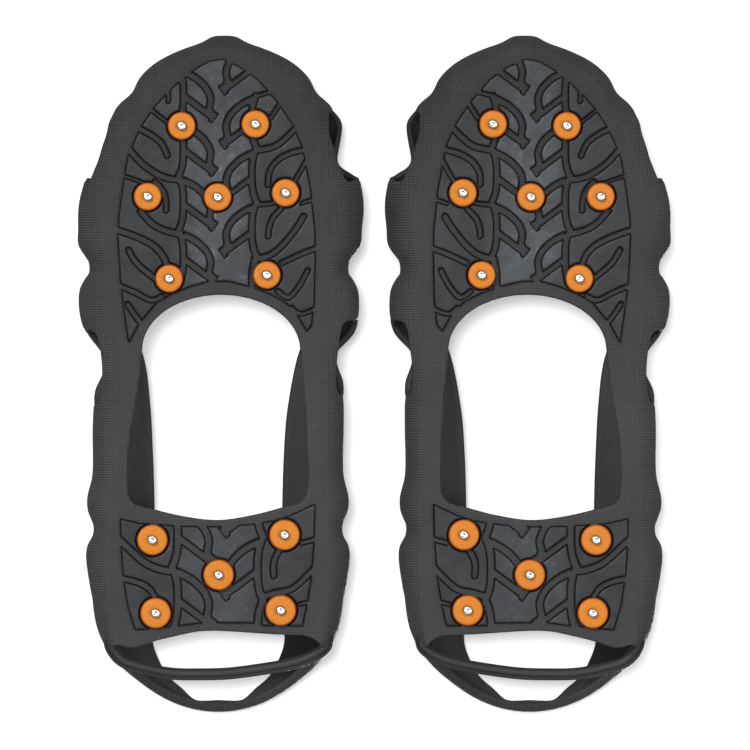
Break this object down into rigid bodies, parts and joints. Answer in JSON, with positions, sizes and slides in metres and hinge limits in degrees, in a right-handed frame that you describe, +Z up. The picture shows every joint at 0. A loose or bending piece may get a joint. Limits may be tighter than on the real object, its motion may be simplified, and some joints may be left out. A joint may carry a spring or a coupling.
{
  "type": "shoe ice cleats",
  "caption": "Pair of stretch-on rubber overshoe cleats with grooved soles, side windows, a heel strap and steel studs in round plastic carriers.",
  "frame": {"origin": "centre of the pair on the ground, at the bottom of the bounding box under the stud tips", "axes": "+Z up with the soles down, +Y from heel to toe, +X from the left cleat to the right cleat"},
  "size_m": [0.2378, 0.272, 0.058],
  "materials": {
    "rubber": "matt dark grey moulded rubber with a fine woven imprint outside",
    "tread_rubber": "smooth blue-grey rubber lugs with a slight sheen",
    "carrier_plastic": "matt orange moulded plastic",
    "stud_steel": "bright hardened steel"
  },
  "bodies": {
    "left_cleat": {"left_forefoot_sole": "rubber", "left_heel_sole": "rubber", "left_inner_rail": "rubber", "left_outer_rail": "rubber", "left_forefoot_tread": "tread_rubber", "left_heel_tread": "tread_rubber", "left_toe_cap": "rubber", "left_inner_wall": "rubber", "left_outer_wall": "rubber", "left_inner_collar": "rubber", "left_outer_collar": "rubber", "left_lower_heel_band": "rubber", "left_carrier_1": "carrier_plastic", "left_carrier_2": "carrier_plastic", "left_carrier_3": "carrier_plastic", "left_carrier_4": "carrier_plastic", "left_carrier_5": "carrier_plastic", "left_carrier_6": "carrier_plastic", "left_carrier_7": "carrier_plastic", "left_carrier_8": "carrier_plastic", "left_carrier_9": "carrier_plastic", "left_carrier_10": "carrier_plastic", "left_carrier_11": "carrier_plastic", "left_carrier_12": "carrier_plastic", "left_forefoot_studs": "stud_steel", "left_heel_studs": "stud_steel", "left_forefoot_washers": "carrier_plastic", "left_heel_washers": "carrier_plastic"},
    "left_strap": {"left_upper_heel_strap": "rubber"},
    "right_cleat": {"right_forefoot_sole": "rubber", "right_heel_sole": "rubber", "right_inner_rail": "rubber", "right_outer_rail": "rubber", "right_forefoot_tread": "tread_rubber", "right_heel_tread": "tread_rubber", "right_toe_cap": "rubber", "right_inner_wall": "rubber", "right_outer_wall": "rubber", "right_inner_collar": "rubber", "right_outer_collar": "rubber", "right_lower_heel_band": "rubber", "right_carrier_1": "carrier_plastic", "right_carrier_2": "carrier_plastic", "right_carrier_3": "carrier_plastic", "right_carrier_4": "carrier_plastic", "right_carrier_5": "carrier_plastic", "right_carrier_6": "carrier_plastic", "right_carrier_7": "carrier_plastic", "right_carrier_8": "carrier_plastic", "right_carrier_9": "carrier_plastic", "right_carrier_10": "carrier_plastic", "right_carrier_11": "carrier_plastic", "right_carrier_12": "carrier_plastic", "right_forefoot_studs": "stud_steel", "right_heel_studs": "stud_steel", "right_forefoot_washers": "carrier_plastic", "right_heel_washers": "carrier_plastic"},
    "right_strap": {"right_upper_heel_strap": "rubber"}
  },
  "joints": [
    {"name": "pair_spacing", "type": "slide", "parent": "left_cleat", "child": "right_cleat", "axis": [1, 0, 0], "range_m": [0, 0.15]},
    {"name": "left_strap_pull", "type": "hinge", "parent": "left_cleat", "child": "left_strap", "pos_m": [-0.0627, -0.1085, 0.0163], "axis": [1, 0, 0], "range_deg": [0, 38], "stiffness_Nm_per_rad": 0.35},
    {"name": "right_strap_pull", "type": "hinge", "parent": "right_cleat", "child": "right_strap", "pos_m": [0.0627, -0.1085, 0.0163], "axis": [1, 0, 0], "range_deg": [0, 38], "stiffness_Nm_per_rad": 0.35}
  ]
}
